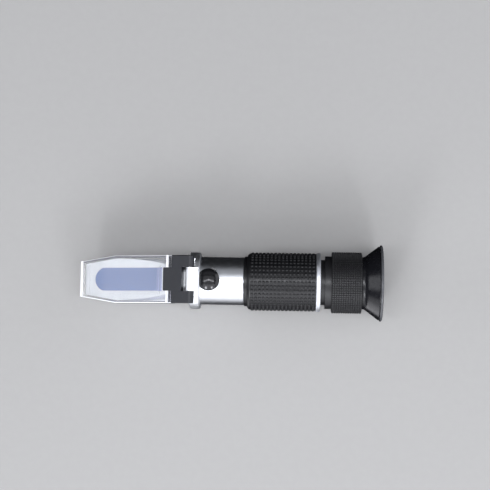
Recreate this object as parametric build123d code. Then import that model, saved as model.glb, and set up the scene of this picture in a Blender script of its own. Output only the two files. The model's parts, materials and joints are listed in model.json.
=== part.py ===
from build123d import *
import os
from math import cos, radians, sin, sqrt

# Hand-held prism refractometer, lying along X with its daylight plate on top.
# The origin is on the optical axis at the middle of the rubber grip, +X runs to the eye and +Z
# points up through the daylight plate. All sizes are in millimetres.

# Fits
bond_gap = 0.02            # pieces that are glued, pressed or screwed together
run_gap = 0.05             # shafts and rings that turn or slide in each other
side_gap = 0.2             # between the faces of pieces that pass each other
rest_gap = 0.1             # the film of sample between the plate and the prism

# Barrel
tube_radius = 12.5
tube_wall = 1.75
bare_tube_length = 23.05
tube_socket_depth = 3.0
tube_step = 0.4            # the tube is thinner under the grip
tube_end_chamfer = 0.35

# Rubber grip and its end ring
grip_length = 37.55
grip_thickness = 2.68
grip_lip_length = 1.5
grip_lip_thickness = 0.9
grip_shoulder = 1.9
end_ring_rise = 0.6
end_ring_length = 2.25
end_ring_chamfer = 0.4

# Head
collar_wall = 2.35
collar_length = 5.95
collar_chamfer = 0.6
collar_front_slant = 0.8     # how far back the collar's front face slants
collar_slant_height = 2.2
nose_step = 1.5            # how much thinner than the barrel the nose is
nose_edge_round = 0.5
face_angle = 15.0          # the prism's face against the optical axis
head_bore_wall = 5.2       # from the light bore to the nose's side

# Hinge of the daylight plate
knuckle_radius = 2.2
hinge_behind_collar_front = 0.9
pin_above_face = 1.48
boss_half_width = 6.05
boss_ahead_of_collar_back = 0.57
boss_depth = 9.35
pin_radius = 0.8
pin_end_inset = 0.25
relief_gap = 0.4

# Daylight plate, measured along its slope from the hinge pin
plate_front = -60.2
plate_taper_length = 19.4
plate_rear = -9.3
plate_taper = 3.15         # how much narrower each side gets towards the front
plate_thickness = 3.0
plate_wall = 1.1
plate_lip = 1.55
skirt_depth = 2.8
skirt_gap = 0.35
lip_gap = 0.45
pad_recess = 0.4
pad_side_margin = 1.5      # how far the pad reaches past the window
pad_front_margin = 3.15
pad_rear_margin = 0.6
rib_height = 0.58
front_rib_width = 1.2
rear_rib_width = 1.2
rib_ahead_of_rear = 1.8
plate_edge_chamfer = 0.35

# Hinge bracket
tongue_length = 4.6
tongue_corner = 0.5
web_rear = -3.75
web_chamfer = 0.9
bracket_lift = 0.25
bracket_edge_chamfer = 0.35

# Prism
window_behind_plate_front = 7.4
window_ahead_of_plate_rear = 7.8
window_side = 5.0          # from the window's side to the nose's
window_nose = 4.5          # how far the round end of the window bulges
prism_base_height = -6.5
prism_exit_angle = 33.0
bed_thickness = 0.4
seal_width = 0.5
seal_depth = 0.8
stop_length = 1.2
stop_rim = 1.4
stop_behind_window = 3.0

# Calibration: cap, screw, lens carriage and the guide that the carriage slides in
cap_radius = 5.8
cap_stem_radius = 3.4
cap_behind_collar = 4.7
cap_side_height = 0.45
cap_dome_height = 2.2
cap_stem_clearance = 0.15
cap_tab_angle = 62.0
cap_tab_width = 2.6
cap_tab_reach = 0.6
screw_radius = 2.0
screw_headroom = 0.43
screw_slot_width = 0.7
screw_slot_depth = 0.9
guide_wall = 2.33
guide_shoulder = 1.5       # how far its shoulder reaches in front of the carriage
carriage_room = 0.9        # between the carriage's round sides and the guide's bore
carriage_length = 5.1
carriage_side_flat = 0.5
carriage_top_flat = 0.4
carriage_wall = 3.1
ledge_overlap = 2.23       # how far the ledge reaches under the strip
ledge_margin = 0.1
ledge_thickness = 1.0
lock_ring_length = 2.5
lock_ring_overlap = 0.5    # how far it reaches in behind the carriage
lock_slot_width = 1.2
lock_slot_depth = 0.8
spring_radius = 1.35
spring_wire = 0.2
spring_turns = 3.5
spring_floor = 0.8         # what the guide's wall keeps under the spring

# Objective lens on its bimetal strip
strip_thickness = 0.5
strip_half_width = 2.5
strip_length = 14.0
rivet_radius = 0.5
rivet_depth = 0.65
rivet_head_radius = 0.9
rivet_head_height = 0.35
rivet_spacing = 2.6
objective_margin = 0.2     # how much larger than the carriage's bore the lens is
cell_wall = 1.4
cell_top_wall = 0.8
cell_length = 4.4
cell_behind_strip = 0.5
cell_lip = 0.6
cell_lip_length = 0.6
crown_edge = 0.915
crown_front_curve = 24.0
cement_curve = -13.0
flint_thickness = 1.0
flint_back_curve = -60.0
retainer_height = 0.6      # rings that hold a lens in its bore
retainer_length = 0.8

# Eyepiece tube, reticle and field stop
eyepiece_step = 0.7        # how much thinner than the barrel the eyepiece tube is
eyepiece_wall = 1.7
eyepiece_spigot_length = 12.0
eyepiece_end_gap = 1.8
reticle_seat_wall = 2.21
reticle_thickness = 1.5
reticle_seat_depth = 5.0
reticle_retainer_length = 1.8
field_stop_length = 2.0
field_stop_rim = 1.3
relief_bore_length = 5.0
o_ring_wire = 0.35
o_ring_from_end = 3.2

# Lens tube that slides in the eyepiece tube
lens_tube_wall = 1.83
lens_tube_front_gap = 0.7
field_lens_edge = 0.965
field_front_curve = 40.0
field_back_curve = -22.0
field_lens_depth = 2.0
neck_step = 1.05
neck_wall = 1.48
eye_lens_edge = 0.933
eye_front_curve = 18.0
eye_back_curve = -45.0
eye_lens_depth = 3.45
eye_stop_rim = 0.7
eye_stop_length = 0.8
captive_ring_rim = 1.8
captive_ring_length = 1.6
key_radius = 0.8
key_depth = 1.2
focus_travel = 1.8         # each way from the middle of the focus range
focus_end_gap = 0.55       # left between the end ring and the focus ring at its nearest

# Focus ring, its sleeve and the eyecup
focus_ring_wall = 1.95
focus_band_length = 3.4
focus_web = 2.2
sleeve_thickness = 1.88
sleeve_length = 15.8
sleeve_edge_round = 0.4
eyecup_neck_wall = 1.2
eyecup_neck_length = 3.4
eyecup_radius = 20.0
eyecup_length = 10.7
eyecup_wall = 1.3
eyecup_rim_length = 1.9
eyecup_rim_rise = 0.6

# Radii that follow from each other, from the barrel inwards and outwards
tube_bore = tube_radius - tube_wall
thin_tube = tube_radius - tube_step
insert_radius = tube_bore - bond_gap
grip_bore = thin_tube + bond_gap
grip_radius = grip_bore + grip_thickness
end_ring_radius = grip_radius + end_ring_rise
collar_radius = tube_radius + collar_wall
nose_radius = tube_radius - nose_step
head_bore_radius = nose_radius - head_bore_wall
plate_half_width = nose_radius + skirt_gap + plate_wall
plate_front_half_width = plate_half_width - plate_taper
window_half_width = nose_radius - window_side
guide_bore = insert_radius - guide_wall
carriage_radius = guide_bore - carriage_room
guide_shoulder_bore = carriage_radius - guide_shoulder
lock_ring_bore = carriage_radius - lock_ring_overlap
carriage_bore = carriage_radius - carriage_wall
carriage_half_width = carriage_radius - carriage_side_flat
carriage_half_height = carriage_radius - carriage_top_flat
objective_radius = carriage_bore + objective_margin
objective_bore = objective_radius + bond_gap
ledge_top = objective_radius + cell_top_wall
ledge_half_width = strip_half_width + ledge_margin
reticle_radius = insert_radius - reticle_seat_wall - bond_gap
eyepiece_tube_radius = tube_radius - eyepiece_step
slide_bore = eyepiece_tube_radius - eyepiece_wall
lens_tube_radius = slide_bore - run_gap
field_bore = lens_tube_radius - lens_tube_wall
field_lens_radius = field_bore - bond_gap
neck_radius = lens_tube_radius - neck_step
eye_bore = neck_radius - neck_wall
eye_lens_radius = eye_bore - bond_gap
captive_ring_radius = neck_radius + captive_ring_rim
eyecup_neck_bore = captive_ring_radius + side_gap
eyecup_neck_radius = eyecup_neck_bore + eyecup_neck_wall
focus_ring_bore = eyepiece_tube_radius + run_gap
focus_ring_radius = focus_ring_bore + focus_ring_wall
sleeve_radius = focus_ring_radius + bond_gap + sleeve_thickness

# Stations along the optical axis
grip_front = -grip_length / 2
grip_back = grip_length / 2
tube_back = grip_back + end_ring_length
collar_back = grip_front - bare_tube_length
collar_front = collar_back - collar_length
tube_front = collar_back - tube_socket_depth
hinge_x = collar_front + hinge_behind_collar_front
hinge_z = collar_radius - knuckle_radius
cap_x = collar_back + cap_behind_collar
carriage_front = cap_x - carriage_length / 2
carriage_back = cap_x + carriage_length / 2
guide_back = carriage_back + run_gap
lock_ring_back = guide_back + bond_gap + lock_ring_length
strip_front = lock_ring_back + side_gap
strip_back = strip_front + strip_length
ledge_back = strip_front + ledge_overlap
cell_back = strip_back + cell_behind_strip
cell_front = cell_back - cell_length
eyepiece_front = tube_back - eyepiece_spigot_length
reticle_back = eyepiece_front + reticle_seat_depth
reticle_front = reticle_back - reticle_thickness
field_stop_back = reticle_back + field_stop_length
slide_bore_front = field_stop_back + relief_bore_length
focus_front = tube_back + focus_travel + focus_end_gap
sleeve_front = focus_front + focus_band_length
sleeve_back = sleeve_front + sleeve_length
web_front = sleeve_back - focus_web
eyepiece_back = web_front - focus_travel - eyepiece_end_gap
key_x = (slide_bore_front + eyepiece_back) / 2
eyecup_back = sleeve_back + eyecup_length
lens_tube_front = slide_bore_front + focus_travel + lens_tube_front_gap
lens_tube_back = sleeve_back + side_gap + captive_ring_length
field_lens_front = lens_tube_front + field_lens_depth
eye_stop_back = lens_tube_back - eye_lens_depth

# Along the plate's slope from the hinge pin, and heights square to it
plate_shoulder = plate_front + plate_taper_length
tongue_front = plate_rear - tongue_length
window_front = plate_front + window_behind_plate_front
window_rear = plate_rear - window_ahead_of_plate_rear
pad_front = window_front - pad_front_margin
pad_rear = window_rear + pad_rear_margin
pad_half_width = window_half_width + pad_side_margin
face_level = -pin_above_face
plate_under = face_level + rest_gap
plate_top = plate_under + plate_thickness
bracket_under = face_level + bracket_lift
bracket_top = knuckle_radius
rib_top = plate_top + rib_height
side_taper = plate_taper / plate_taper_length

slope = Plane(
    origin=(hinge_x, 0, hinge_z),
    x_dir=(cos(radians(face_angle)), 0, sin(radians(face_angle))),
    z_dir=(-sin(radians(face_angle)), 0, cos(radians(face_angle))),
)
spring_seat = spring_floor - insert_radius
rivet_rows = ((strip_front + ledge_back) / 2, (cell_front + strip_back) / 2)
reach = eyecup_back - hinge_x    # a cutting block's size, longer than anything that it cuts


def turned(*profile):
    """A body turned about the optical axis from (station, radius) points."""
    line = Polyline(*[(x, 0, r) for x, r in profile], close=True)
    return revolve(make_face(line), Axis.X)


def ring(front, back, outer, inner):
    """A plain ring about the optical axis."""
    return turned((front, inner), (front, outer), (back, outer), (back, inner))


def rod(front, back, radius):
    """A round bar along the optical axis."""
    return Pos((front + back) / 2, 0, 0) * Rot(0, 90, 0) * Cylinder(radius, back - front)


def post(low, high, radius, x=cap_x, y=0.0):
    """A round bar along Z between two heights."""
    return Pos(x, y, (low + high) / 2) * Cylinder(radius, high - low)


def crossbar(radius, half_length):
    """A round bar along Y through the hinge."""
    return Pos(hinge_x, 0, hinge_z) * Rot(90, 0, 0) * Cylinder(radius, 2 * half_length)


def block(low, high):
    """A box from its lowest to its highest corner."""
    size = [b - a for a, b in zip(low, high)]
    middle = [(a + b) / 2 for a, b in zip(low, high)]
    return Pos(*middle) * Box(*size)


def slab(points, low, high):
    """A flat plate with this plan, between two heights."""
    face = make_face(Polyline(*points, close=True))
    return extrude(Pos(0, 0, low) * face, high - low, dir=(0, 0, 1))


def plate_plan(front_inset, side_inset, rear):
    """The plate's plan on the slope, drawn in from its front and its sides."""
    front = plate_front + front_inset
    front_half = plate_front_half_width + side_taper * front_inset - side_inset
    half = plate_half_width - side_inset
    side = [(front, front_half), (plate_shoulder, half), (rear, half)]
    return side + [(x, -y) for x, y in reversed(side)]


def window_block(grow, low, high):
    """The window's plan, straight with a round front end, between two heights over the slope."""
    half = window_half_width + grow
    rear = window_rear + grow
    corner = window_front + window_nose
    front = ThreePointArc((corner, half), (window_front - grow, 0), (corner, -half))
    sides = Polyline((corner, -half), (rear, -half), (rear, half), (corner, half))
    face = Pos(0, 0, low) * make_face(front + sides)
    return slope.location * extrude(face, high - low, dir=(0, 0, 1))


def fall(curve, height):
    """How far a lens face has moved towards +X at a height off the axis."""
    side = 1 if curve > 0 else -1
    return curve - side * sqrt(curve**2 - height**2)


def middle_thickness(edge, front_curve, back_curve, radius):
    """A lens's thickness on the axis, from its thickness at the edge."""
    return edge + fall(front_curve, radius) - fall(back_curve, radius)


def lens(front, thickness, front_curve, back_curve, radius):
    """A round lens between two ball faces; a positive curve has its centre towards +X."""

    def face_points(vertex, curve):
        return [(vertex + fall(curve, height), 0, height) for height in (0, radius / 2, radius)]

    first = face_points(front, front_curve)
    last = face_points(front + thickness, back_curve)
    outline = ThreePointArc(*first) + Line(first[2], last[2])
    outline += ThreePointArc(*reversed(last)) + Line(last[0], first[0])
    return revolve(make_face(outline), Axis.X)


def collar():
    """The collar behind the nose, slanted in front and with its back edge broken."""
    return turned(
        (collar_front, 0),
        (collar_front, collar_radius - collar_slant_height),
        (collar_front + collar_front_slant, collar_radius),
        (collar_back - collar_chamfer, collar_radius),
        (collar_back, collar_radius - collar_chamfer),
        (collar_back, 0),
    )


def arm_relief():
    """The room in the collar that the bracket's arms turn in, on both sides of the boss."""
    swing = knuckle_radius + relief_gap
    low = (hinge_x - reach, -reach, hinge_z - swing)
    return block(low, (hinge_x + swing, reach, reach))


def hinge_boss():
    """The flat-topped boss that carries the hinge pin, round about the pin in front."""
    half = boss_half_width
    foot = collar_radius - boss_depth
    back = collar_back - boss_ahead_of_collar_back
    body = block((hinge_x, -half, foot), (back, half, collar_radius))
    apron = block((hinge_x - knuckle_radius, -half, foot), (hinge_x, half, hinge_z))
    return crossbar(knuckle_radius, half) + body + apron


def nose():
    """The nose: a round bar cut by the slope and tapered to the plate's plan."""
    plan = plate_plan(plate_lip + lip_gap, plate_wall + skirt_gap, reach)
    bar = rod(hinge_x + plate_front, collar_front + collar_front_slant, nose_radius)
    bar &= slope.location * slab(plan, -reach, face_level)
    front_face = bar.faces().sort_by(Axis.X)[0]
    lower_edge = front_face.edges().sort_by(Axis.Z)[0]
    return fillet(lower_edge, nose_edge_round)


def prism_pocket():
    """The milled pocket that the prism, its bed and its seal fill."""
    floor = prism_base_height - bed_thickness
    pocket = window_block(bond_gap, -reach, face_level + 1)
    pocket &= block((-2 * reach, -reach, floor), (reach, reach, reach))
    return pocket + window_block(seal_width, face_level - seal_depth, face_level + 1)


def prism_head():
    """Aluminium head: nose, collar and hinge boss, with its pocket, light bore and socket."""
    head = collar() - arm_relief()
    head += nose() + hinge_boss()
    head -= prism_pocket()
    head -= rod(hinge_x + window_rear - window_half_width, collar_back, head_bore_radius)
    head -= rod(tube_front, collar_back + 1, tube_radius + bond_gap)
    return head - crossbar(pin_radius + run_gap, boss_half_width + 1)


def prism_stock(base):
    """The prism's outline over a base at this height, cut off by its inclined exit face."""
    angle = radians(prism_exit_angle)
    top_rear = (slope.location * Pos(window_rear, 0, face_level)).position
    exit_face = Plane(origin=top_rear, x_dir=(0, 1, 0), z_dir=(cos(angle), 0, -sin(angle)))
    behind = exit_face.location * Pos(0, 0, reach / 2) * Box(2 * reach, 2 * reach, reach)
    stock = window_block(0, -reach, face_level)
    return (stock & block((-2 * reach, -reach, base), (reach, reach, reach))) - behind


def measuring_prism():
    """Glass prism: sloped measuring face, base along the axis and an inclined exit face."""
    return prism_stock(prism_base_height)


def prism_bed():
    """Blue bedding compound between the prism's base and the pocket's floor."""
    above = block((-2 * reach, -reach, prism_base_height), (reach, reach, reach))
    return prism_stock(prism_base_height - bed_thickness) - above


def prism_seal():
    """White cement bead in the step around the prism's face."""
    bead = window_block(seal_width, face_level - seal_depth, face_level)
    return bead - window_block(0, -reach, face_level + 1)


def aperture_stop():
    """Black ring in the neck that stops stray light from the prism."""
    front = hinge_x + window_rear * cos(radians(face_angle)) + stop_behind_window
    outer = head_bore_radius - bond_gap
    return ring(front, front + stop_length, outer, outer - stop_rim)


def barrel_tube():
    """Barrel: polished in front, thinner under the grip, with the cap's hole through its top."""
    front = tube_front + bond_gap
    tube = turned(
        (front, tube_bore),
        (front, tube_radius),
        (grip_front - tube_end_chamfer, tube_radius),
        (grip_front, tube_radius - tube_end_chamfer),
        (grip_front, thin_tube),
        (tube_back, thin_tube),
        (tube_back, tube_bore),
    )
    return tube - post(tube_bore / 2, tube_radius + 1, cap_stem_radius + bond_gap)


def rubber_grip():
    """Grip sleeve: a thin lip in front, a round shoulder and the thick body that is held."""
    front = grip_front + bond_gap
    back = grip_back - bond_gap
    lip_back = grip_front + grip_lip_length
    lip = grip_bore + grip_lip_thickness
    shoulder_back = lip_back + grip_shoulder
    rise = grip_radius - lip
    middle = sqrt(0.5)
    lines = Polyline(
        (lip_back, 0, lip),
        (front, 0, lip),
        (front, 0, grip_bore),
        (back, 0, grip_bore),
        (back, 0, grip_radius),
        (shoulder_back, 0, grip_radius),
    )
    shoulder = ThreePointArc(
        (shoulder_back, 0, grip_radius),
        (shoulder_back - grip_shoulder * middle, 0, lip + rise * middle),
        (lip_back, 0, lip),
    )
    return revolve(make_face(lines + shoulder), Axis.X)


def grip_end_ring():
    """Bright ring screwed on the tube's end, which holds the grip."""
    edge = end_ring_radius - end_ring_chamfer
    return turned(
        (grip_back, grip_bore),
        (grip_back, edge),
        (grip_back + end_ring_chamfer, end_ring_radius),
        (tube_back - end_ring_chamfer, end_ring_radius),
        (tube_back, edge),
        (tube_back, grip_bore),
    )


def with_flats(front, back, radius, half_width):
    """A round bar with a flat on each side, as the guide's bore and the carriage have."""
    between = block((front, -half_width, -reach), (back, half_width, reach))
    return rod(front, back, radius) & between


def carriage_guide():
    """Sleeve in the barrel that the lens carriage slides up and down in."""
    front = tube_front + 2 * bond_gap
    slot_front = carriage_front - run_gap
    guide = ring(front, guide_back, insert_radius, guide_shoulder_bore)
    guide -= with_flats(slot_front, guide_back + 1, guide_bore, carriage_half_width + run_gap)
    guide -= post(guide_bore / 2, insert_radius + 1, screw_radius + run_gap)
    return guide - post(spring_seat, -guide_bore / 2, spring_radius + spring_wire + side_gap)


def lens_carriage():
    """Carriage between screw and spring, with a ledge for the strip behind it."""
    height = carriage_half_height
    body = with_flats(carriage_front, carriage_back, carriage_radius, carriage_half_width)
    body &= block((carriage_front, -reach, -height), (carriage_back, reach, height))
    ledge = block(
        (carriage_back - 1, -ledge_half_width, ledge_top - ledge_thickness),
        (ledge_back, ledge_half_width, ledge_top),
    )
    return body + ledge - rod(carriage_front, carriage_back, carriage_bore) - rivets(bond_gap)


def guide_lock_ring():
    """Slotted ring behind the guide, which keeps the guide and the carriage in."""
    lock = ring(lock_ring_back - lock_ring_length, lock_ring_back, insert_radius, lock_ring_bore)
    slot = block(
        (lock_ring_back - lock_slot_depth, -reach, -lock_slot_width / 2),
        (lock_ring_back + 1, reach, lock_slot_width / 2),
    )
    return lock - slot


def return_spring():
    """Coil spring under the carriage, which keeps it up against the screw."""
    margin = spring_wire + bond_gap
    rise = -carriage_half_height - spring_seat - 2 * margin
    centre = (cap_x, 0, spring_seat + margin)
    path = Helix(rise / spring_turns, rise, spring_radius, center=centre)
    section = Plane(origin=path @ 0, z_dir=path % 0) * Circle(spring_wire)
    return sweep(section, path=path, is_frenet=True)


def calibration_screw():
    """Slotted grub screw over the carriage."""
    top = insert_radius - screw_headroom
    slot = block(
        (cap_x - reach, -screw_slot_width / 2, top - screw_slot_depth),
        (cap_x + reach, screw_slot_width / 2, reach),
    )
    return post(carriage_half_height, top, screw_radius) - slot


def calibration_cap():
    """Rubber plug over the screw: a dome that hugs the barrel, cut off beside the collar."""
    foot = tube_bore + cap_stem_clearance
    low = tube_bore - tube_wall
    side = tube_radius + cap_side_height
    top = side + cap_dome_height
    curve = (cap_radius**2 + cap_dome_height**2) / (2 * cap_dome_height)
    half = cap_radius / 2
    flank = (half, 0, top - curve + sqrt(curve**2 - half**2))
    lines = Polyline((0, 0, top), (0, 0, low), (cap_radius, 0, low), (cap_radius, 0, side))
    dome = ThreePointArc((cap_radius, 0, side), flank, (0, 0, top))
    cap = revolve(make_face(lines + dome), Axis.Z)
    tab = block(
        (0, -cap_tab_width / 2, low),
        (cap_radius + cap_tab_reach, cap_tab_width / 2, side),
    )
    cap = Pos(cap_x, 0, 0) * (cap + Rot(0, 0, cap_tab_angle) * tab)
    cap -= rod(-reach, reach, tube_radius + bond_gap)
    cap += post(foot, tube_radius + cap_side_height, cap_stem_radius)
    return cap - block((-reach, -reach, 0), (collar_back + run_gap, reach, reach))


def rivets(grow=0.0):
    """The four rivets' shanks, or the holes for them."""
    low = ledge_top - rivet_depth - grow
    high = ledge_top + strip_thickness
    places = [(x, side * rivet_spacing / 2) for x in rivet_rows for side in (-1, 1)]
    return [post(low, high, rivet_radius + grow, x, y) for x, y in places]


def strip_rivets():
    """Rivets that hold the strip to the carriage's ledge and to the objective's cell."""
    base = ledge_top + strip_thickness
    places = [(x, side * rivet_spacing / 2) for x in rivet_rows for side in (-1, 1)]
    heads = [post(base, base + rivet_head_height, rivet_head_radius, x, y) for x, y in places]
    return Compound(children=[shank + head for shank, head in zip(rivets(), heads)])


def bimetal_strip():
    """Bimetal strip that carries the objective and corrects its height for temperature."""
    low = (strip_front, -strip_half_width, ledge_top)
    high = (strip_back, strip_half_width, ledge_top + strip_thickness)
    return block(low, high) - rivets(bond_gap)


def objective_cell():
    """Ring that holds the objective, with a flat on top for the strip."""
    lip_back = cell_front + cell_lip_length
    outer = objective_bore + cell_wall
    cell = turned(
        (cell_front, objective_bore - cell_lip),
        (cell_front, outer),
        (cell_back, outer),
        (cell_back, objective_bore),
        (lip_back, objective_bore),
        (lip_back, objective_bore - cell_lip),
    )
    flat = block((cell_front - 1, -reach, ledge_top), (cell_back + 1, reach, reach))
    return cell - flat - rivets(bond_gap)


crown_touch = fall(crown_front_curve, objective_bore - cell_lip)
crown_front = cell_front + cell_lip_length + bond_gap - crown_touch
crown_thickness = middle_thickness(crown_edge, crown_front_curve, cement_curve, objective_radius)
flint_front = crown_front + crown_thickness
flint_back = flint_front + flint_thickness


def objective_crown():
    """Crown glass half of the cemented objective."""
    return lens(crown_front, crown_thickness, crown_front_curve, cement_curve, objective_radius)


def objective_flint():
    """Flint glass half of the cemented objective."""
    return lens(flint_front, flint_thickness, cement_curve, flint_back_curve, objective_radius)


def lens_retainer(front, outer):
    """A threaded ring that holds a lens in its bore."""
    return ring(front, front + retainer_length, outer, outer - retainer_height)


def objective_retainer():
    """Ring that holds the objective in its cell."""
    touch = fall(flint_back_curve, objective_radius - retainer_height)
    return lens_retainer(flint_back + touch + bond_gap, objective_radius)


def eyepiece_tube():
    """Fixed black tube behind the barrel, which holds the reticle and guides the lens tube."""
    seat = reticle_radius + bond_gap
    stop = reticle_radius - field_stop_rim
    tube = turned(
        (eyepiece_front, seat),
        (eyepiece_front, insert_radius),
        (tube_back, insert_radius),
        (tube_back, eyepiece_tube_radius),
        (eyepiece_back, eyepiece_tube_radius),
        (eyepiece_back, slide_bore),
        (slide_bore_front, slide_bore),
        (slide_bore_front, seat),
        (field_stop_back, seat),
        (field_stop_back, stop),
        (reticle_back, stop),
        (reticle_back, seat),
    )
    groove = eyepiece_back - o_ring_from_end
    half_groove = o_ring_wire + bond_gap
    groove_floor = focus_ring_bore - 2 * (o_ring_wire + bond_gap)
    tube -= ring(groove - half_groove, groove + half_groove, focus_ring_bore + 1, groove_floor)
    half_slot = key_radius + run_gap
    half_way = focus_travel + half_slot + side_gap
    slot = block(
        (key_x - half_way, -half_slot, -reach),
        (key_x + half_way, half_slot, -slide_bore / 2),
    )
    return tube - slot


def reticle():
    """Glass disc that carries the scale."""
    return rod(reticle_front, reticle_back, reticle_radius)


def reticle_retainer():
    """Ring that holds the reticle against the field stop."""
    inner = reticle_radius - field_stop_rim
    return ring(reticle_front - reticle_retainer_length, reticle_front, reticle_radius, inner)


def focus_o_ring():
    """O-ring in the eyepiece tube's groove, which makes the focus ring turn smoothly."""
    middle = focus_ring_bore - bond_gap - o_ring_wire
    place = Pos(eyepiece_back - o_ring_from_end, 0, middle) * Rot(90, 0, 0)
    return revolve(place * Circle(o_ring_wire), Axis.X)


field_curves = (field_front_curve, field_back_curve)
field_lens_thickness = middle_thickness(field_lens_edge, *field_curves, field_lens_radius)


def lens_tube():
    """Sliding tube for the eyepiece's two lenses, with a neck that the focus ring turns on."""
    neck_front = web_front - side_gap
    field_seat = field_lens_front + field_lens_thickness + fall(field_back_curve, eye_bore)
    field_seat += bond_gap
    stop_front = eye_stop_back - eye_stop_length
    stop = eye_lens_radius - eye_stop_rim
    tube = turned(
        (lens_tube_front, field_bore),
        (lens_tube_front, lens_tube_radius),
        (neck_front, lens_tube_radius),
        (neck_front, neck_radius),
        (lens_tube_back, neck_radius),
        (lens_tube_back, eye_bore),
        (eye_stop_back, eye_bore),
        (eye_stop_back, stop),
        (stop_front, stop),
        (stop_front, eye_bore),
        (field_seat, eye_bore),
        (field_seat, field_bore),
    )
    return tube - post(-reach, key_depth - lens_tube_radius, key_radius + bond_gap, key_x)


def focus_key_pin():
    """Pin that keeps the lens tube from turning and stops it at both ends of its travel."""
    low = -eyepiece_tube_radius + bond_gap
    return post(low, key_depth - lens_tube_radius, key_radius, key_x)


def field_lens():
    """Lens nearer the reticle."""
    return lens(field_lens_front, field_lens_thickness, *field_curves, field_lens_radius)


def field_lens_retainer():
    """Ring in front of the field lens."""
    touch = fall(field_front_curve, field_lens_radius - retainer_height)
    back = field_lens_front + touch - bond_gap
    return lens_retainer(back - retainer_length, field_lens_radius)


eye_curves = (eye_front_curve, eye_back_curve)
eye_lens_thickness = middle_thickness(eye_lens_edge, *eye_curves, eye_lens_radius)
eye_lens_touch = fall(eye_front_curve, eye_lens_radius - eye_stop_rim)
eye_lens_front = eye_stop_back + bond_gap - eye_lens_touch


def eye_lens():
    """Lens nearer the eye."""
    return lens(eye_lens_front, eye_lens_thickness, *eye_curves, eye_lens_radius)


def eye_lens_retainer():
    """Ring behind the eye lens."""
    touch = fall(eye_back_curve, eye_lens_radius - retainer_height)
    return lens_retainer(eye_lens_front + eye_lens_thickness + touch + bond_gap, eye_lens_radius)


def focus_captive_ring():
    """Ring screwed on the lens tube's neck, which keeps the focus ring on it."""
    front = lens_tube_back - captive_ring_length
    return ring(front, lens_tube_back, captive_ring_radius, neck_radius + bond_gap)


def focus_ring():
    """Black focus ring: a bore over the eyepiece tube, a web and the neck for the eyecup."""
    neck_back = sleeve_back + eyecup_neck_length
    return turned(
        (focus_front, focus_ring_bore),
        (focus_front, focus_ring_radius),
        (sleeve_back, focus_ring_radius),
        (sleeve_back, eyecup_neck_radius),
        (neck_back, eyecup_neck_radius),
        (neck_back, eyecup_neck_bore),
        (sleeve_back, eyecup_neck_bore),
        (sleeve_back, neck_radius + run_gap),
        (web_front, neck_radius + run_gap),
        (web_front, focus_ring_bore),
    )


def focus_sleeve():
    """Rubber sleeve on the focus ring, where the fingers turn it."""
    inner = focus_ring_radius + bond_gap
    sleeve = ring(sleeve_front, sleeve_back, sleeve_radius, inner)
    rims = sleeve.edges().filter_by(GeomType.CIRCLE).sort_by(SortBy.RADIUS)[-2:]
    return fillet(rims, sleeve_edge_round)


def eyecup():
    """Flared rubber eyecup with a beaded rim, gripped on the focus ring's neck."""
    front = sleeve_back + bond_gap
    bore = eyecup_neck_radius + bond_gap
    neck_back = sleeve_back + eyecup_neck_length + bond_gap
    rim_front = eyecup_back - eyecup_rim_length
    rim_edge = eyecup_radius - eyecup_rim_rise
    flare = (rim_edge - focus_ring_radius) / (rim_front - front)
    wall = eyecup_wall * sqrt(1 + flare**2)
    lines = Polyline(
        (rim_front, 0, rim_edge),
        (front, 0, focus_ring_radius),
        (front, 0, bore),
        (neck_back, 0, bore),
        (neck_back, 0, focus_ring_radius + flare * eyecup_neck_length - wall),
        (rim_front, 0, rim_edge - wall),
        (eyecup_back, 0, rim_edge - eyecup_wall),
        (eyecup_back, 0, rim_edge),
    )
    middle = ((rim_front + eyecup_back) / 2, 0, eyecup_radius)
    rim = ThreePointArc((eyecup_back, 0, rim_edge), middle, (rim_front, 0, rim_edge))
    return revolve(make_face(lines + rim), Axis.X)


def tongue(grow, low, high):
    """The bracket's tongue, with round front corners, or the notch in the plate for it."""
    half = boss_half_width + grow
    bar = block((tongue_front - grow, -half, low), (web_rear, half, high))
    corners = bar.edges().filter_by(Axis.Z).sort_by(Axis.X)[:2]
    return fillet(corners, tongue_corner + grow)


def plate_ribs():
    """Raised ribs: one along the plate's front edge and one each side of the bracket."""
    low = plate_top - plate_edge_chamfer
    front_back = plate_front + front_rib_width
    front = slab(plate_plan(0, 0, reach), low, rib_top)
    front &= block((plate_front, -reach, low), (front_back, reach, reach))
    rear_back = plate_rear - rib_ahead_of_rear
    rear_front = rear_back - rear_rib_width
    rear = block((rear_front, -plate_half_width, low), (rear_back, plate_half_width, rib_top))
    return front + rear


def daylight_plate():
    """Clear plate over the prism, with skirts at its sides and a lip in front."""
    foot = plate_under - skirt_depth
    body = slab(plate_plan(0, 0, plate_rear), foot, plate_top)
    body = chamfer(body.edges().group_by(Axis.Z)[-1], plate_edge_chamfer)
    body += plate_ribs()
    inside = plate_plan(plate_lip, plate_wall, reach)
    pad = block((pad_front, -pad_half_width, foot), (pad_rear, pad_half_width, plate_top))
    body -= slab(inside, foot - 1, plate_under)
    body -= slab(inside, plate_under - 1, plate_under + pad_recess) - pad
    return slope.location * (body - tongue(bond_gap, -reach, reach))


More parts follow.
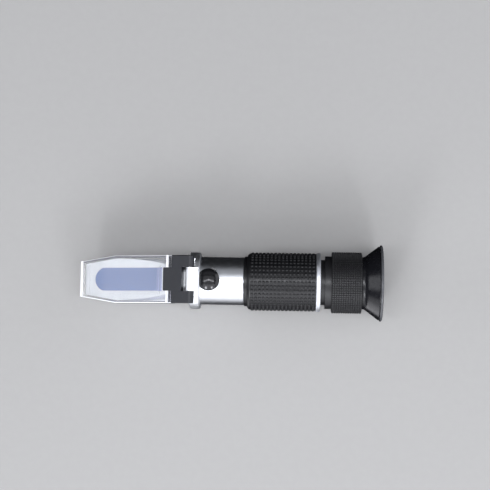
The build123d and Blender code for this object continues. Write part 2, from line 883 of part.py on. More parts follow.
def hinge_bracket():
    """Black bracket bonded into the plate's notch, with two arms round the hinge pin."""
    half = plate_half_width
    inner = boss_half_width + side_gap
    front = plate_rear + bond_gap
    web = block((front, -half, bracket_under), (web_rear, half, bracket_top))
    rear_edges = web.edges().filter_by(Axis.Y).sort_by(Axis.X)[-2:]
    web = chamfer(rear_edges.sort_by(Axis.Z)[-1], web_chamfer)
    arms = block((web_rear - web_chamfer, -half, bracket_under), (0, half, bracket_top))
    arms += Rot(90, 0, 0) * Cylinder(knuckle_radius, 2 * half)
    arms -= block((web_rear - web_chamfer, -inner, -reach), (reach, inner, reach))
    body = tongue(0, bracket_under, bracket_top) + web + arms
    sides = body.faces().filter_by(Axis.Y).sort_by(Axis.Y)
    rims = (sides[0].edges() + sides[-1].edges()).filter_by(
        lambda edge: edge.center().X > front + bracket_edge_chamfer
        and edge.center().Z > bracket_under + bracket_edge_chamfer
    )
    body = slope.location * chamfer(rims, bracket_edge_chamfer)
    return body - crossbar(pin_radius + bond_gap, reach)


def hinge_pin():
    """Steel pin through the boss, fast in both arms."""
    return crossbar(pin_radius, plate_half_width - pin_end_inset)


PIECES = [
    prism_head,
    measuring_prism,
    prism_bed,
    prism_seal,
    aperture_stop,
    barrel_tube,
    rubber_grip,
    grip_end_ring,
    carriage_guide,
    guide_lock_ring,
    return_spring,
    lens_carriage,
    bimetal_strip,
    strip_rivets,
    objective_cell,
    objective_crown,
    objective_flint,
    objective_retainer,
    calibration_screw,
    calibration_cap,
    eyepiece_tube,
    reticle,
    reticle_retainer,
    focus_o_ring,
    lens_tube,
    focus_key_pin,
    field_lens,
    field_lens_retainer,
    eye_lens,
    eye_lens_retainer,
    focus_captive_ring,
    focus_ring,
    focus_sleeve,
    eyecup,
    daylight_plate,
    hinge_bracket,
    hinge_pin,
]

os.makedirs("parts", exist_ok=True)
for make in PIECES:
    export_step(make(), f"parts/{make.__name__}.step")
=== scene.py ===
"""Dresses the hand-held refractometer: its finishes, rubber studs, knurl, glass, floor, light and camera.

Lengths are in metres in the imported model's frame: the origin lies on the optical axis at the middle of
the rubber grip, +X runs to the eye and +Z points up through the daylight plate.
"""

import json
import logging
import math
from dataclasses import dataclass
from enum import Enum
from typing import ClassVar

import bpy
import numpy as np
from mathutils import Matrix, Vector

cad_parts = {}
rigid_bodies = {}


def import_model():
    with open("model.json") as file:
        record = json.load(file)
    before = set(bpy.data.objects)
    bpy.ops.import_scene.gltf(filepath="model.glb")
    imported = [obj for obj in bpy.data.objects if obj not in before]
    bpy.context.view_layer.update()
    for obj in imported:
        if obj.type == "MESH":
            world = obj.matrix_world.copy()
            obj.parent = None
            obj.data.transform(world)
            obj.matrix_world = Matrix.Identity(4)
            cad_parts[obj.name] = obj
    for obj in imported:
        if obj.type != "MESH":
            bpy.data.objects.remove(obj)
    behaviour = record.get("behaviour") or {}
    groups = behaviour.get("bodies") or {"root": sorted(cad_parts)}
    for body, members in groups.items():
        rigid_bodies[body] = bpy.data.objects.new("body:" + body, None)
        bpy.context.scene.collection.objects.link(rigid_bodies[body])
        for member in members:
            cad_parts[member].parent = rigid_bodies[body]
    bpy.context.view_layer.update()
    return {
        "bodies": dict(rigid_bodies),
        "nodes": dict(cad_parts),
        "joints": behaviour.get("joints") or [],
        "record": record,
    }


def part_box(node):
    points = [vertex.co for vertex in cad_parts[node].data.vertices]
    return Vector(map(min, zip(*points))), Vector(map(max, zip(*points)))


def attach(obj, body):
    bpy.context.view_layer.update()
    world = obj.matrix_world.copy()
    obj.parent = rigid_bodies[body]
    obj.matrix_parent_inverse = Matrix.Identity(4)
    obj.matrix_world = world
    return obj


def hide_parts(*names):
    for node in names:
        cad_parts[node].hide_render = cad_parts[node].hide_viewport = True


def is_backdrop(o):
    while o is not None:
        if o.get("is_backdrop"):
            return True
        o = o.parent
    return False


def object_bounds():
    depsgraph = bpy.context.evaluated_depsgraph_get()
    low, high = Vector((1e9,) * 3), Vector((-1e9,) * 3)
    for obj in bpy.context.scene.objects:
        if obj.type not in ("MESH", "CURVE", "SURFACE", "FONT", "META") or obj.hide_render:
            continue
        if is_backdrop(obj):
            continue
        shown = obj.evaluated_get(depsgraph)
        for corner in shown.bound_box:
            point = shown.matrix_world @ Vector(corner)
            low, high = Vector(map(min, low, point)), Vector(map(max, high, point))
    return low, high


LOG = logging.getLogger("refractometer")
MM = 0.001
FULL_TURN = 2 * math.pi
HINGE_PIN = Vector((-46.875 * MM, 0.0, 12.65 * MM))
PLATE_SLOPE = math.radians(15.0)

Colour = tuple[float, float, float]
Span = tuple[float, float]
Socket = bpy.types.NodeSocket
Axes = tuple[Socket, Socket, Socket]
Tree = bpy.types.NodeTree


class Relief(Enum):
    """Which way a surface's relief runs, as its fineness along X, Y and Z: a small one draws it out."""

    EVEN = (1.0, 1.0, 1.0)
    TURNED = (1.0, 0.01, 0.01)
    DRAWN = (0.02, 1.0, 1.0)


class Arithmetic(Enum):
    """What can be done with one or two values, as the Math node names it."""

    ADD = "ADD"
    SUBTRACT = "SUBTRACT"
    MULTIPLY = "MULTIPLY"
    LARGER = "MAXIMUM"
    UNSIGNED = "ABSOLUTE"


@dataclass(frozen=True)
class Finish:
    """The finish of a surface: its colour and gloss, both mottled a little, over a fine relief.

    The grain and the two sizes are those of the lumps in the noise, and the layers say how much
    finer detail it has. The mottle and the gloss change say how far the colour and the roughness go
    to either side. The depth is the relief's height.
    """

    name: str
    colour: Colour
    roughness: float = 0.5
    metallic: float = 0.0
    specular: float = 0.5
    ior: float = 1.5
    transmission: float = 0.0
    relief: Relief = Relief.EVEN
    grain: float = 0.2 * MM
    grain_layers: float = 2.0
    depth: float = 0.004 * MM
    mottle: float = 0.06
    mottle_size: float = 4 * MM
    mottle_layers: float = 4.0
    gloss_change: float = 0.06
    gloss_size: float = 1.6 * MM
    gloss_layers: float = 3.0

    @property
    def title(self) -> str:
        """Returns the material's name, apart from the record's slots of the same name."""
        return self.name + "_finish"

    def material(self) -> bpy.types.Material:
        """Builds the finish once and returns its material."""
        return bpy.data.materials.get(self.title) or self.build()

    def build(self) -> bpy.types.Material:
        """Makes the material's nodes.

        Returns:
            The new material.
        """
        material = bpy.data.materials.new(self.title)
        material.use_nodes = True
        material.diffuse_color = (*self.colour, 1.0)
        tree = material.node_tree
        shader = tree.nodes["Principled BSDF"]
        even_values = {
            "Metallic": self.metallic,
            "Specular IOR Level": self.specular,
            "IOR": self.ior,
            "Transmission Weight": self.transmission,
        }
        for name, value in even_values.items():
            shader.inputs[name].default_value = value
        place = object_place(tree)
        tree.links.new(self.pattern(tree, place), shader.inputs["Base Color"])
        spots = noise(tree, place, self.gloss_size, Relief.EVEN, self.gloss_layers)
        low = max(0.0, self.roughness - self.gloss_change)
        rough = spread(tree, spots, low, self.roughness + self.gloss_change)
        tree.links.new(rough, shader.inputs["Roughness"])
        bump = tree.nodes.new("ShaderNodeBump")
        bump.inputs["Strength"].default_value = 1.0
        bump.inputs["Distance"].default_value = self.depth
        grain = noise(tree, place, self.grain, self.relief, self.grain_layers)
        tree.links.new(grain, bump.inputs["Height"])
        tree.links.new(bump.outputs["Normal"], shader.inputs["Normal"])
        return material

    def pattern(self, tree: Tree, place: Socket) -> Socket:
        """Adds the surface's mottled colour.

        Args:
            tree: The material's nodes.
            place: The coordinates that the mottle follows.

        Returns:
            The colour.
        """
        mottle = noise(tree, place, self.mottle_size, Relief.EVEN, self.mottle_layers)
        share = spread(tree, mottle, 0.0, 1.0)
        dark = [part * (1 - self.mottle) for part in self.colour]
        light = [min(1.0, part * (1 + self.mottle)) for part in self.colour]
        return blend_colours(tree, share, dark, light)


@dataclass(frozen=True)
class DustyRubber(Finish):
    """Black rubber with a scatter of fine pale specks of dust."""

    speck_size: float = 0.35 * MM
    speck_layers: float = 1.0
    speck_colour: Colour = (0.16, 0.16, 0.165)
    speck_edges: Span = (0.66, 0.74)

    def pattern(self, tree: Tree, place: Socket) -> Socket:
        """Adds the rubber's colour, with specks where fine noise peaks.

        Args:
            tree: The material's nodes.
            place: The coordinates that the specks follow.

        Returns:
            The colour.
        """
        specks = noise(tree, place, self.speck_size, Relief.EVEN, self.speck_layers)
        share = spread(tree, specks, 0.0, 1.0, *self.speck_edges)
        return blend_colours(tree, share, self.colour, self.speck_colour)


@dataclass(frozen=True)
class RimHighlightCup(DustyRubber):
    """The eyecup's rubber, with a painted highlight that turns it paler round its outer rim."""

    # The colour of the painted highlight on the outer rim.
    rim_highlight_colour: Colour = (0.072, 0.074, 0.080)
    rim_edges: Span = (51.9 * MM, 52.05 * MM)
    outer_edges: Span = (19.2 * MM, 19.4 * MM)

    def pattern(self, tree: Tree, place: Socket) -> Socket:
        """Adds the dusty rubber's colour, turned paler far back and far out from the axis by a painted
        highlight on the rim.

        Args:
            tree: The material's nodes.
            place: The object's coordinates.

        Returns:
            The colour.
        """
        along, _, _ = split_axes(tree, place)
        behind = spread(tree, along, 0.0, 1.0, *self.rim_edges)
        outside = spread(tree, from_axis(tree, place), 0.0, 1.0, *self.outer_edges)
        dusty = super().pattern(tree, place)
        # Painted highlight: the outer rim is coloured paler where light catches it.
        return blend_colours(tree, product(tree, behind, outside), dusty, self.rim_highlight_colour)


@dataclass(frozen=True)
class HeadAluminium(Finish):
    """The prism head: a matt pale nose under the plate, and a bright collar and boss behind it."""

    nose_metallic: float = 0.35
    collar_edges: Span = (-53.0 * MM, -52.0 * MM)

    def build(self) -> bpy.types.Material:
        """Makes the collar's finish, then turns the nose matt.

        Returns:
            The new material.
        """
        material = super().build()
        tree = material.node_tree
        along, _, _ = split_axes(tree, object_place(tree))
        shine = spread(tree, along, self.nose_metallic, self.metallic, *self.collar_edges)
        tree.links.new(shine, tree.nodes["Principled BSDF"].inputs["Metallic"])
        return material


@dataclass(frozen=True)
class WindowGlass(Finish):
    """The measuring prism: periwinkle from the bed below, more violet at its sides and paler behind."""

    edge_colour: Colour = (0.18, 0.225, 0.50)
    rear_colour: Colour = (0.28, 0.33, 0.58)
    side_edges: Span = (5.2 * MM, 6.3 * MM)
    rear_edges: Span = (-64.6 * MM, -64.0 * MM)

    def pattern(self, tree: Tree, place: Socket) -> Socket:
        """Adds the glass's colour, by distance from the middle line and then by place along X.

        Args:
            tree: The material's nodes.
            place: The object's coordinates.

        Returns:
            The colour.
        """
        along, across, _ = split_axes(tree, place)
        from_middle = calculate(tree, Arithmetic.UNSIGNED, across)
        side = spread(tree, from_middle, 0.0, 1.0, *self.side_edges)
        rear = spread(tree, along, 0.0, 1.0, *self.rear_edges)
        sides = blend_colours(tree, side, self.colour, self.edge_colour)
        return blend_colours(tree, rear, sides, self.rear_colour)


@dataclass(frozen=True)
class PlateAcrylic(Finish):
    """The daylight plate: clear, with painted white highlights on its ribs and broken edges, painted
    shade on its skirts outside the nose and a painted shadow in the gap between the rib and the bracket.

    Its zones are told by the place along the plate's slope from the hinge pin, the height square to
    that slope, the distance from the optical axis, and the distance from the middle line with the
    plate's taper added to it, which is the half width all along the plate's sides.
    """

    half_width: float = 12.45 * MM
    shoulder: float = -40.8 * MM
    taper: float = 3.15 * MM
    taper_length: float = 19.4 * MM
    edge_inside: Span = (0.42 * MM, 0.36 * MM)
    edge_heights: Span = (1.10 * MM, 1.20 * MM)
    # The colour of the painted highlight on the ribs and broken edges.
    painted_glint: Colour = (0.95, 0.96, 0.97)
    # The colour of the painted shade on the skirts outside the nose.
    painted_skirt_shade: Colour = (0.31, 0.33, 0.46)
    shadow: Colour = (0.10, 0.10, 0.12)
    rib_edges: Span = (1.66 * MM, 1.72 * MM)
    under_edges: Span = (-1.30 * MM, -1.25 * MM)
    nose_edges: Span = (11.0 * MM, 11.3 * MM)
    groove_front: Span = (-11.15 * MM, -11.05 * MM)
    groove_back: Span = (-10.1 * MM, -9.9 * MM)
    clear_transmission: float = 0.94
    glint_transmission: float = 0.25
    glint_roughness: float = 0.35

    def build(self) -> bpy.types.Material:
        """Makes the clear finish, then turns it less clear and rougher where the ribs and edges carry
        their painted highlight.

        Returns:
            The new material.
        """
        material = super().build()
        tree = material.node_tree
        shader = tree.nodes["Principled BSDF"]
        # The painted highlight's mask also lowers the transmission and raises the roughness.
        glint = self.glint_share(tree, self.slope_axes(tree))
        clear = spread(tree, glint, self.clear_transmission, self.glint_transmission, 0.0, 1.0)
        rough = spread(tree, glint, self.roughness, self.glint_roughness, 0.0, 1.0)
        tree.links.new(clear, shader.inputs["Transmission Weight"])
        tree.links.new(rough, shader.inputs["Roughness"])
        return material

    def slope_axes(self, tree: Tree) -> Axes:
        """Adds the coordinates on the plate's slope, from the hinge pin.

        Args:
            tree: The material's nodes.

        Returns:
            The place along the slope, the place across it and the height over it.
        """
        turned = Matrix.Rotation(PLATE_SLOPE, 3, "Y")
        mapping = tree.nodes.new("ShaderNodeMapping")
        mapping.inputs["Rotation"].default_value = (0.0, PLATE_SLOPE, 0.0)
        mapping.inputs["Location"].default_value = -(turned @ HINGE_PIN)
        tree.links.new(object_place(tree), mapping.inputs["Vector"])
        return split_axes(tree, mapping.outputs["Vector"])

    def glint_share(self, tree: Tree, on_slope: Axes) -> Socket:
        """Adds the painted highlight's share, which is 1 on the ribs over the plate's top and on its
        broken side edges.

        Args:
            tree: The material's nodes.
            on_slope: The coordinates on the plate's slope.

        Returns:
            The share.
        """
        along, across, height = on_slope
        rib = spread(tree, height, 0.0, 1.0, *self.rib_edges)
        ahead = calculate(tree, Arithmetic.SUBTRACT, self.shoulder, along)
        on_taper = calculate(tree, Arithmetic.LARGER, ahead, 0.0)
        narrowing = product(tree, on_taper, self.taper / self.taper_length)
        from_middle = calculate(tree, Arithmetic.UNSIGNED, across)
        side = calculate(tree, Arithmetic.ADD, from_middle, narrowing)
        at_side = spread(tree, side, 0.0, 1.0, *(self.half_width - inside for inside in self.edge_inside))
        high = spread(tree, height, 0.0, 1.0, *self.edge_heights)
        return calculate(tree, Arithmetic.LARGER, rib, product(tree, at_side, high))

    def pattern(self, tree: Tree, place: Socket) -> Socket:
        """Adds the plate's colour, zone by zone: painted shade on the skirts outside the nose, a painted
        shadow in the gap between the rib and the bracket, and painted white highlights on the ribs and
        edges.

        Args:
            tree: The material's nodes.
            place: The object's coordinates.

        Returns:
            The colour.
        """
        on_slope = self.slope_axes(tree)
        along, _, height = on_slope
        outside = spread(tree, from_axis(tree, place), 0.0, 1.0, *self.nose_edges)
        under = spread(tree, height, 1.0, 0.0, *self.under_edges)
        behind_rib = spread(tree, along, 0.0, 1.0, *self.groove_front)
        ahead_of_bracket = spread(tree, along, 1.0, 0.0, *self.groove_back)
        # Painted shade: the skirts outside the nose are coloured darker where the acrylic's walls darken
        # the view.
        skirt_shaded = blend_colours(tree, product(tree, outside, under), self.colour, self.painted_skirt_shade)
        # Painted shadow in the gap between the rib and the bracket.
        shadowed_in_gap = blend_colours(tree, product(tree, behind_rib, ahead_of_bracket), skirt_shaded, self.shadow)
        # Painted highlight: the ribs and broken edges are coloured white where light shines in the
        # acrylic.
        return blend_colours(tree, self.glint_share(tree, on_slope), shadowed_in_gap, self.painted_glint)


def object_place(tree: Tree) -> Socket:
    """Adds the object's coordinates and returns them."""
    return tree.nodes.new("ShaderNodeTexCoord").outputs["Object"]


def split_axes(tree: Tree, vector: Socket) -> Axes:
    """Adds a vector's X, Y and Z.

    Args:
        tree: The material's nodes.
        vector: The vector.

    Returns:
        Its X, Y and Z.
    """
    split = tree.nodes.new("ShaderNodeSeparateXYZ")
    tree.links.new(vector, split.inputs["Vector"])
    return split.outputs["X"], split.outputs["Y"], split.outputs["Z"]


def from_axis(tree: Tree, place: Socket) -> Socket:
    """Adds the distance from the optical axis, the root of Y squared plus Z squared.

    Args:
        tree: The material's nodes.
        place: The object's coordinates.

    Returns:
        The distance.
    """
    across = tree.nodes.new("ShaderNodeVectorMath")
    across.operation = "MULTIPLY"
    across.inputs[1].default_value = (0.0, 1.0, 1.0)
    distance = tree.nodes.new("ShaderNodeVectorMath")
    distance.operation = "LENGTH"
    tree.links.new(place, across.inputs[0])
    tree.links.new(across.outputs["Vector"], distance.inputs[0])
    return distance.outputs["Value"]


def noise(tree: Tree, place: Socket, size: float, relief: Relief, layers: float) -> Socket:
    """Adds noise whose lumps have a real size.

    Args:
        tree: The material's nodes.
        place: The coordinates that the noise follows.
        size: The lumps' size in metres.
        relief: Which way the lumps are drawn out.
        layers: How much finer detail the noise has.

    Returns:
        The noise's value.
    """
    mapping = tree.nodes.new("ShaderNodeMapping")
    mapping.inputs["Scale"].default_value = [fineness / size for fineness in relief.value]
    tree.links.new(place, mapping.inputs["Vector"])
    texture = tree.nodes.new("ShaderNodeTexNoise")
    texture.inputs["Scale"].default_value = 1.0
    texture.inputs["Detail"].default_value = layers
    tree.links.new(mapping.outputs["Vector"], texture.inputs["Vector"])
    return texture.outputs["Fac"]


def spread(
    tree: Tree, value: Socket, low: float, high: float, start: float = 0.3, end: float = 0.7
) -> Socket:
    """Adds a smooth step from low to high while a value goes from start to end.

    Args:
        tree: The material's nodes.
        value: The value that drives the step.
        low: The result at start.
        high: The result at end.
        start: Where the step starts.
        end: Where the step ends.

    Returns:
        The step's result.
    """
    step = tree.nodes.new("ShaderNodeMapRange")
    step.interpolation_type = "SMOOTHSTEP"
    step.inputs["From Min"].default_value = start
    step.inputs["From Max"].default_value = end
    step.inputs["To Min"].default_value = low
    step.inputs["To Max"].default_value = high
    tree.links.new(value, step.inputs["Value"])
    return step.outputs["Result"]


def calculate(
    tree: Tree, operation: Arithmetic, first: float | Socket, second: float | Socket = 0.0
) -> Socket:
    """Adds one step of arithmetic.

    Args:
        tree: The material's nodes.
        operation: What is done.
        first: The first value.
        second: The second value, where the operation takes one.

    Returns:
        The result.
    """
    step = tree.nodes.new("ShaderNodeMath")
    step.operation = operation.value
    for entry, value in zip(step.inputs, (first, second)):
        if isinstance(value, Socket):
            tree.links.new(value, entry)
        else:
            entry.default_value = value
    return step.outputs["Value"]


def product(tree: Tree, first: Socket, *others: float | Socket) -> Socket:
    """Adds the product of several values.

    Args:
        tree: The material's nodes.
        first: The first value.
        others: What it is multiplied by.

    Returns:
        The product.
    """
    whole = first
    for other in others:
        whole = calculate(tree, Arithmetic.MULTIPLY, whole, other)
    return whole


def blend_colours(
    tree: Tree, share: Socket, first: Colour | list[float] | Socket, second: Colour | list[float]
) -> Socket:
    """Adds a blend from one colour to another.

    Args:
        tree: The material's nodes.
        share: The second colour's share.
        first: The colour at 0, or a socket that gives it.
        second: The colour at 1.

    Returns:
        The blended colour.
    """
    mix = tree.nodes.new("ShaderNodeMix")
    mix.data_type = "RGBA"
    tree.links.new(share, mix.inputs["Factor"])
    if isinstance(first, Socket):
        tree.links.new(first, mix.inputs["A"])
    else:
        mix.inputs["A"].default_value = (*first, 1.0)
    mix.inputs["B"].default_value = (*second, 1.0)
    return mix.outputs["Result"]


HEAD_ALUMINIUM = HeadAluminium(
    "blasted_aluminium",
    (0.93, 0.95, 0.98),
    roughness=0.42,
    metallic=1.0,
    grain=0.14 * MM,
    depth=0.006 * MM,
    mottle=0.03,
)
SATIN_CHROME = Finish(
    "satin_chrome",
    (0.69, 0.71, 0.74),
    roughness=0.33,
    metallic=1.0,
    relief=Relief.TURNED,
    grain=0.05 * MM,
    depth=0.0006 * MM,
    mottle=0.02,
    gloss_change=0.03,
)
RING_ALUMINIUM = Finish(
    "ring_aluminium",
    (0.80, 0.82, 0.86),
    roughness=0.5,
    metallic=1.0,
    relief=Relief.TURNED,
    grain=0.08 * MM,
    depth=0.001 * MM,
    mottle=0.02,
)
BLACK_ANODISED = Finish(
    "black_anodised",
    (0.011, 0.011, 0.0125),
    roughness=0.38,
    specular=0.4,
    relief=Relief.TURNED,
    grain=0.08 * MM,
    depth=0.0012 * MM,
)
GRIP_RUBBER = DustyRubber(
    "grip_rubber",
    (0.005, 0.005, 0.006),
    roughness=0.34,
    specular=0.38,
    grain=0.12 * MM,
    depth=0.003 * MM,
    speck_colour=(0.05, 0.05, 0.052),
)
SLEEVE_RUBBER = DustyRubber(
    "sleeve_rubber",
    (0.007, 0.007, 0.008),
    roughness=0.48,
    specular=0.42,
    grain=0.12 * MM,
    depth=0.002 * MM,
    speck_colour=(0.03, 0.03, 0.032),
)
# The eyecup's rubber, with a painted highlight on its outer rim.
EYECUP_RUBBER = RimHighlightCup(
    "eyecup_rubber",
    (0.007, 0.0072, 0.009),
    roughness=0.22,
    specular=0.4,
    grain=0.5 * MM,
    depth=0.002 * MM,
    speck_size=0.3 * MM,
    speck_colour=(0.03, 0.03, 0.033),
)
CAP_RUBBER = Finish(
    "cap_rubber",
    (0.008, 0.008, 0.009),
    roughness=0.16,
    specular=0.4,
    grain=0.4 * MM,
    depth=0.002 * MM,
)
BRACKET_PLASTIC = Finish(
    "bracket_plastic",
    (0.0145, 0.0155, 0.0195),
    roughness=0.44,
    specular=0.4,
    grain=0.1 * MM,
    depth=0.005 * MM,
)
CLEAR_ACRYLIC = PlateAcrylic(
    "clear_acrylic",
    (0.99, 0.995, 1.0),
    roughness=0.03,
    gloss_change=0.015,
    ior=1.49,
    transmission=1.0,
    grain=6 * MM,
    depth=0.01 * MM,
)
PRISM_GLASS = WindowGlass(
    "prism_glass",
    (0.20, 0.278, 0.52),
    roughness=0.08,
    gloss_change=0.02,
    specular=0.3,
    grain=5 * MM,
    depth=0.003 * MM,
)
PALE_GLASS = Finish(
    "pale_glass",
    (0.375, 0.43, 0.70),
    roughness=0.12,
    specular=0.3,
    grain=5 * MM,
    depth=0.002 * MM,
    mottle=0.03,
)
COATED_LENS = Finish(
    "coated_lens",
    (0.93, 0.97, 1.0),
    roughness=0.02,
    gloss_change=0.01,
    mottle=0.005,
    transmission=1.0,
    grain=4 * MM,
    depth=0.001 * MM,
)
WHITE_CEMENT = Finish("white_cement", (0.86, 0.86, 0.88), roughness=0.6, grain=0.15 * MM)
BLUE_BEDDING = Finish("blue_bedding", (0.25, 0.31, 0.58), roughness=0.6)
TURNED_BRASS = Finish(
    "turned_brass",
    (0.71, 0.53, 0.25),
    roughness=0.28,
    metallic=1.0,
    relief=Relief.TURNED,
    grain=0.1 * MM,
    depth=0.001 * MM,
)
BRIGHT_STEEL = Finish(
    "bright_steel",
    (0.67, 0.67, 0.68),
    roughness=0.22,
    metallic=1.0,
    relief=Relief.DRAWN,
    grain=0.08 * MM,
    depth=0.001 * MM,
)
PALE_FLOOR = Finish(
    "pale_floor",
    (0.345, 0.341, 0.334),
    roughness=0.8,
    specular=0.2,
    grain=1.0 * MM,
    mottle=0.008,
)


def paint(piece: bpy.types.Object, finish: Finish) -> None:
    """Gives a piece this finish in each of its material slots.

    Args:
        piece: The piece to paint.
        finish: Its finish.
    """
    if not piece.material_slots:
        piece.data.materials.append(None)
    for slot in piece.material_slots:
        slot.material = finish.material()


def make_piece(name: str, points: np.ndarray, faces: np.ndarray) -> bpy.types.Object:
    """Makes a smooth mesh piece from its points and faces.

    Args:
        name: The piece's name.
        points: One row of X, Y and Z for each point.
        faces: One row of point numbers for each face, all with as many corners.

    Returns:
        The new piece, linked into the scene.
    """
    mesh = bpy.data.meshes.new(name)
    mesh.vertices.add(len(points))
    mesh.vertices.foreach_set("co", points.astype(np.float32).ravel())
    mesh.loops.add(faces.size)
    mesh.loops.foreach_set("vertex_index", faces.astype(np.int32).ravel())
    mesh.polygons.add(len(faces))
    mesh.polygons.foreach_set("loop_start", np.arange(0, faces.size, faces.shape[1], dtype=np.int32))
    mesh.polygons.foreach_set("use_smooth", np.ones(len(faces), dtype=bool))
    mesh.update(calc_edges=True)
    mesh.validate()
    piece = bpy.data.objects.new(name, mesh)
    bpy.context.scene.collection.objects.link(piece)
    return piece


def grid_faces(
    rows: int, columns: int, rows_close: bool = False, columns_close: bool = False
) -> np.ndarray:
    """Joins the points of a grid, numbered row by row, into faces of four corners.

    Face (i, j) joins the points (i, j), (i + 1, j), (i + 1, j + 1) and (i, j + 1). Seen from where
    the row's number grows to the right and the column's grows upwards, it faces the viewer.

    Args:
        rows: How many rows of points there are.
        columns: How many points a row has.
        rows_close: Whether the last row is joined to the first.
        columns_close: Whether each row's last point is joined to its first.

    Returns:
        One row of point numbers for each face.
    """
    face_rows = rows if rows_close else rows - 1
    face_columns = columns if columns_close else columns - 1
    row, column = np.indices((face_rows, face_columns)).reshape(2, -1)
    next_row = (row + 1) % rows
    next_column = (column + 1) % columns
    corners_of_faces = (
        row * columns + column,
        next_row * columns + column,
        next_row * columns + next_column,
        row * columns + next_column,
    )
    return np.stack(corners_of_faces, axis=1)


def round_axis(along: np.ndarray, angle: np.ndarray, radius: np.ndarray) -> np.ndarray:
    """Places points round the optical axis: X = along, Y = radius sin(angle), Z = radius cos(angle).

    Args:
        along: Where along X the points stand.
        angle: Their angle, counted from +Z towards +Y.
        radius: Their distance from the axis.

    Returns:
        One row of X, Y and Z for each point.
    """
    parts = np.broadcast_arrays(along, radius * np.sin(angle), radius * np.cos(angle))
    return np.stack(parts, axis=-1).reshape(-1, 3)


def copies_round_axis(
    points: np.ndarray, faces: np.ndarray, stations: np.ndarray, angles: np.ndarray, radius: float
) -> tuple[np.ndarray, np.ndarray]:
    """Sets copies of a small shape on a barrel about the optical axis, at each station and angle.

    A point that is u along X, v around and w above the barrel goes to X = station + u, at the angle
    plus v / radius, and at the distance radius + w from the axis.

    Args:
        points: The shape's points as u, v and w.
        faces: The shape's faces.
        stations: Where along X the copies stand.
        angles: Where round the axis they stand.
        radius: The barrel's radius.

    Returns:
        All points and all faces.
    """
    along, turn = (grid.reshape(-1, 1) for grid in np.meshgrid(stations, angles))
    placed = round_axis(along + points[:, 0], turn + points[:, 1] / radius, radius + points[:, 2])
    offsets = np.arange(len(along))[:, None, None] * len(points)
    return placed, (faces[None] + offsets).reshape(-1, faces.shape[1])


def turn_section(section: np.ndarray, sides: int) -> tuple[np.ndarray, np.ndarray]:
    """Turns a closed section about the optical axis into a closed ring.

    Point (i, j) stands at the section's station i and radius i, at the angle j of a full turn.

    Args:
        section: One row of station and radius for each point, going towards +X on the outside.
        sides: How many steps the turn has.

    Returns:
        All points and all faces.
    """
    turn = np.arange(sides) * FULL_TURN / sides
    points = round_axis(section[:, :1], turn, section[:, 1:])
    return points, grid_faces(len(section), sides, rows_close=True, columns_close=True)


def half_oval(start: float, end: float, level: float, height: float, steps: int) -> np.ndarray:
    """Works out half an oval that stands on a level, as part of a section.

    At the angle t of a half turn, the station is the middle less half the width times cos t, and the
    radius is the level plus the height times sin t.

    Args:
        start: The station at which the half oval starts.
        end: The station at which it ends.
        level: The radius that it stands on.
        height: Its height, which is negative for a hollow.
        steps: How many points it has.

    Returns:
        One row of station and radius for each point.
    """
    turn = np.linspace(0.0, math.pi, steps)
    station = (start + end) / 2 - np.cos(turn) * (end - start) / 2
    return np.stack((station, level + np.sin(turn) * height), axis=1)


@dataclass(frozen=True)
class SubAssembly:
    """Pieces of the instrument that are dressed together, with the finish of each CAD node."""

    finishes: ClassVar[dict[str, Finish]] = {}

    def dress(self, frame: dict) -> list[str]:
        """Paints the sub-assembly's CAD nodes and adds its own pieces.


        Returns:
            The names of the pieces that were dressed.
        """
        for node, finish in self.finishes.items():
            paint(frame["nodes"][node], finish)
        return [*self.finishes, *(piece.name for piece in self.pieces())]

    def pieces(self) -> list[bpy.types.Object]:
        """Makes the pieces that only the looks need, and returns them."""
        return []


@dataclass(frozen=True)
class Head(SubAssembly):
    """The prism head with its prism, whose rear edge shows as a paler strip under the plate."""

    finishes: ClassVar[dict[str, Finish]] = {
        "prism_head": HEAD_ALUMINIUM,
        "measuring_prism": PRISM_GLASS,
        "prism_bed": BLUE_BEDDING,
        "prism_seal": WHITE_CEMENT,
        "aperture_stop": BLACK_ANODISED,
    }

    strip_front: float = -17.45 * MM
    strip_back: float = -15.5 * MM
    strip_half_width: float = 6.2 * MM
    face_level: float = -1.48 * MM
    strip_thickness: float = 0.05 * MM
    strip_bevel: float = 0.02 * MM
    bevel_segments: int = 2
    points_along: int = 5
    points_across: int = 25

    def pieces(self) -> list[bpy.types.Object]:
        """Makes the prism's rear edge.

        A point at u along the slope and v across it stands at the hinge pin plus (u, v, face level),
        turned down by the plate's slope.

        Returns:
            The rear edge.
        """
        along = np.linspace(self.strip_front, self.strip_back, self.points_along)
        across = np.linspace(-self.strip_half_width, self.strip_half_width, self.points_across)
        u, v = (grid.ravel() for grid in np.meshgrid(along, across, indexing="ij"))
        on_slope = np.stack((u, v, np.full_like(u, self.face_level)), axis=1)
        turned = np.array(Matrix.Rotation(-PLATE_SLOPE, 3, "Y"))
        points = on_slope @ turned.T + np.array(HINGE_PIN)
        edge = make_piece("prism_rear_edge", points, grid_faces(self.points_along, self.points_across))
        wall = edge.modifiers.new("thickness", "SOLIDIFY")
        wall.thickness = self.strip_thickness
        wall.offset = 1.0
        bevel = edge.modifiers.new("rounding", "BEVEL")
        bevel.width = self.strip_bevel
        bevel.segments = self.bevel_segments
        paint(edge, PALE_GLASS)
        return [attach(edge, "barrel")]


@dataclass(frozen=True)
class DaylightFlap(SubAssembly):
    """The daylight plate that folds over the prism, with its bracket and pin."""

    finishes: ClassVar[dict[str, Finish]] = {
        "daylight_plate": CLEAR_ACRYLIC,
        "hinge_bracket": BRACKET_PLASTIC,
        "hinge_pin": BRIGHT_STEEL,
    }


@dataclass(frozen=True)
class Barrel(SubAssembly):
    """The bright barrel, the black tube behind it and the ring between them."""

    finishes: ClassVar[dict[str, Finish]] = {
        "barrel_tube": SATIN_CHROME,
        "grip_end_ring": RING_ALUMINIUM,
        "eyepiece_tube": BLACK_ANODISED,
    }


